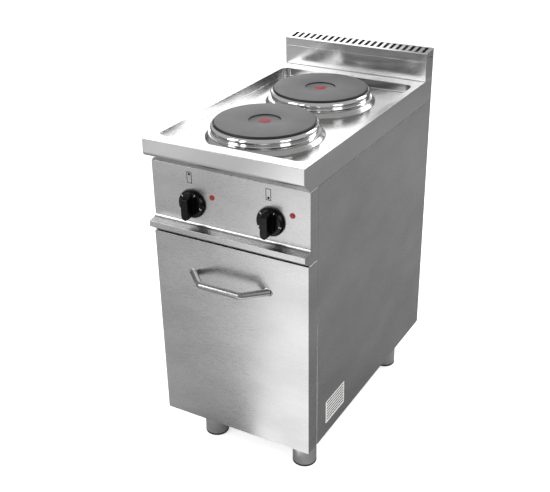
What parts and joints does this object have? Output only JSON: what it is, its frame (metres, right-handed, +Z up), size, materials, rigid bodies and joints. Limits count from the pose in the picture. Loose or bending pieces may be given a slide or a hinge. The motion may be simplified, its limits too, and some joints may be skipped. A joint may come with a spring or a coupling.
{
  "type": "electric hot plate range",
  "caption": "Free-standing stainless cabinet with round cast-iron hot plates in a recessed top, rotary controls, a hinged door and levelling feet.",
  "frame": {"origin": "on the floor, under the middle of the whole outline, door handle included", "axes": "+Z up, -Y towards the door and the knobs, +X to the right as seen from the front"},
  "size_m": [0.4005, 0.7316, 0.926],
  "materials": {
    "brushed_stainless": "fine satin grain",
    "polished_stainless": "bright polished stainless steel",
    "galvanised_sheet": "dull galvanised sheet",
    "zinc_plated_steel": "bright zinc plate",
    "cast_iron": "machined cast iron with a fired black coating",
    "red_enamel": "red heat-proof enamel",
    "fibre_gasket": "pressed mineral fibre",
    "resistance_wire": "oxidised heating coil",
    "brass": "turned brass",
    "steatite": "cream ceramic",
    "black_phenolic": "moulded black thermoset",
    "red_lens": "clear red lens",
    "silicone_wire": "silicone insulation",
    "ferrite_magnet": "dark ferrite in a black case",
    "label_foil": "matt printed foil"
  },
  "bodies": {
    "cabinet": {"worktop": "brushed_stainless", "upstand_shell": "brushed_stainless", "upstand_cap": "brushed_stainless", "control_panel": "brushed_stainless", "side_panel_left": "brushed_stainless", "side_panel_right": "brushed_stainless", "back_panel": "galvanised_sheet", "base_tray": "galvanised_sheet", "compartment_floor": "galvanised_sheet", "front_rail": "galvanised_sheet", "worktop_rail": "galvanised_sheet", "front_plate": "cast_iron", "rear_plate": "cast_iron", "red_spots": "red_enamel", "front_spill_ring": "polished_stainless", "rear_spill_ring": "polished_stainless", "ring_gaskets": "fibre_gasket", "front_heating_coil": "resistance_wire", "rear_heating_coil": "resistance_wire", "insulation_discs": "fibre_gasket", "plate_pans": "galvanised_sheet", "clamp_bridges": "galvanised_sheet", "clamp_studs": "brass", "clamp_nuts": "brass", "plate_terminals": "steatite", "switch_left": "steatite", "switch_right": "steatite", "pilot_lenses": "red_lens", "pilot_bodies": "black_phenolic", "mains_terminal": "steatite", "cable_gland": "black_phenolic", "bonding_stud": "brass", "wiring_loom": "silicone_wire", "back_panel_screws": "zinc_plated_steel", "lower_hinge": "zinc_plated_steel", "upper_hinge": "zinc_plated_steel", "hinge_screws": "zinc_plated_steel", "catch_magnet": "ferrite_magnet", "leg_front_left": "brushed_stainless", "leg_front_right": "brushed_stainless", "leg_rear_left": "brushed_stainless", "leg_rear_right": "brushed_stainless", "leg_plugs": "black_phenolic", "rating_plate": "label_foil"},
    "door": {"door_skin": "brushed_stainless", "door_liner": "galvanised_sheet", "door_stiffener": "galvanised_sheet", "door_handle": "polished_stainless", "handle_nuts": "zinc_plated_steel", "door_bushes": "brass", "catch_strike": "galvanised_sheet"},
    "left_control": {"knob_left": "black_phenolic", "spindle_left": "zinc_plated_steel"},
    "right_control": {"knob_right": "black_phenolic", "spindle_right": "zinc_plated_steel"},
    "front_left_foot": {"foot_front_left": "black_phenolic"},
    "front_right_foot": {"foot_front_right": "black_phenolic"},
    "rear_left_foot": {"foot_rear_left": "black_phenolic"},
    "rear_right_foot": {"foot_rear_right": "black_phenolic"}
  },
  "joints": [
    {"name": "door_swing", "type": "hinge", "parent": "cabinet", "child": "door", "pos_m": [-0.194, -0.29625, 0.37], "axis": [0, 0, -1], "range_deg": [0, 110]},
    {"name": "left_knob_turn", "type": "hinge", "parent": "cabinet", "child": "left_control", "pos_m": [-0.0945, -0.30775, 0.704], "axis": [0, 1, 0], "range_deg": [0, 270]},
    {"name": "right_knob_turn", "type": "hinge", "parent": "cabinet", "child": "right_control", "pos_m": [0.1055, -0.30775, 0.704], "axis": [0, 1, 0], "range_deg": [0, 270]},
    {"name": "front_left_levelling", "type": "slide", "parent": "cabinet", "child": "front_left_foot", "axis": [0, 0, -1], "range_m": [0, 0.03]},
    {"name": "front_right_levelling", "type": "slide", "parent": "cabinet", "child": "front_right_foot", "axis": [0, 0, -1], "range_m": [0, 0.03]},
    {"name": "rear_left_levelling", "type": "slide", "parent": "cabinet", "child": "rear_left_foot", "axis": [0, 0, -1], "range_m": [0, 0.03]},
    {"name": "rear_right_levelling", "type": "slide", "parent": "cabinet", "child": "rear_right_foot", "axis": [0, 0, -1], "range_m": [0, 0.03]}
  ]
}
